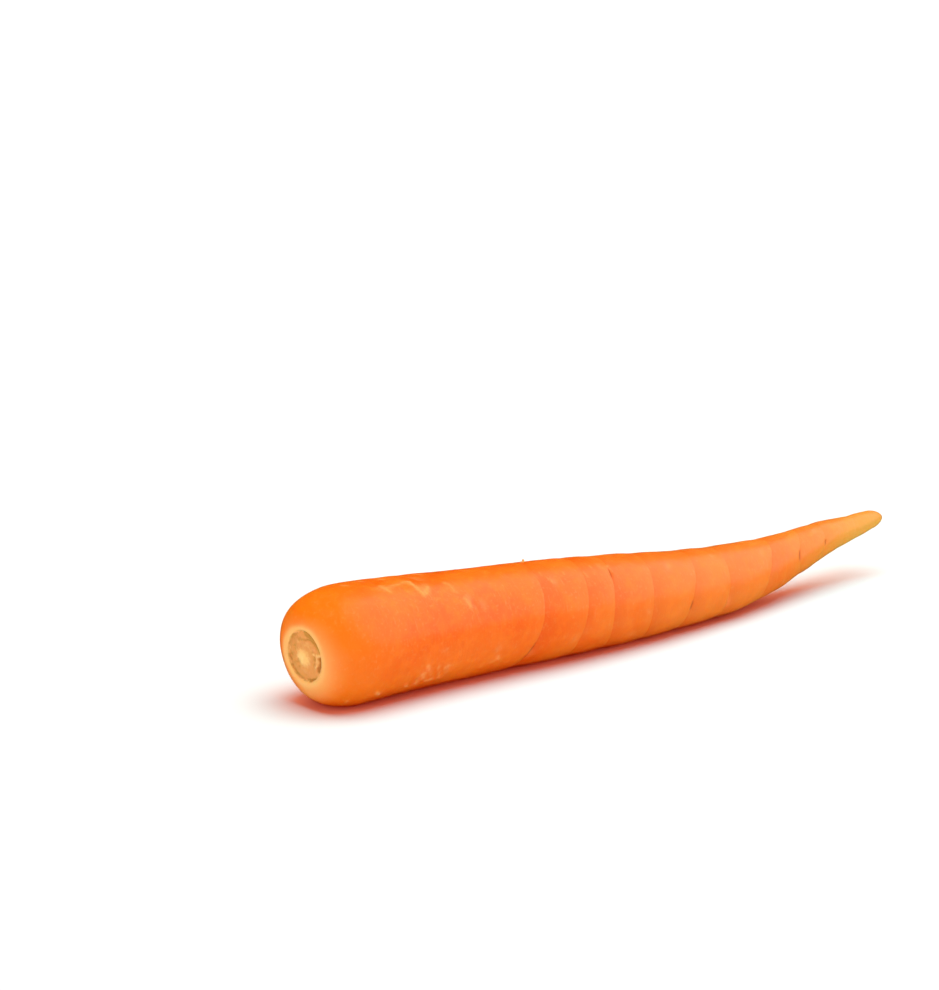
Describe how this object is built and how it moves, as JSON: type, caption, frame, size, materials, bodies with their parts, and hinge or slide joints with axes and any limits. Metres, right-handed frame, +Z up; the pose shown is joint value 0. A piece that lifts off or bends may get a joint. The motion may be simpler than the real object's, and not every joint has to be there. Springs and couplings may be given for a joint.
{
  "type": "carrot",
  "caption": "Whole carrot root with its leaves trimmed off at the crown, lying on its side: a long tapered body ringed by shallow constrictions, with a slim tip that bends clear of the surface.",
  "frame": {"origin": "middle of the root's length and width, on the surface that it rests on", "axes": "+X along the root from the trimmed crown to the tip, +Z up from the surface that it rests on"},
  "size_m": [0.2102, 0.0316, 0.0298],
  "materials": {
    "carrot_skin": "smooth moist orange root skin with a soft sheen, yellower at the crown and the tip, with a pale rim and a tan scar where the leaves were cut"
  },
  "bodies": {
    "root": {"carrot": "carrot_skin"}
  },
  "joints": []
}
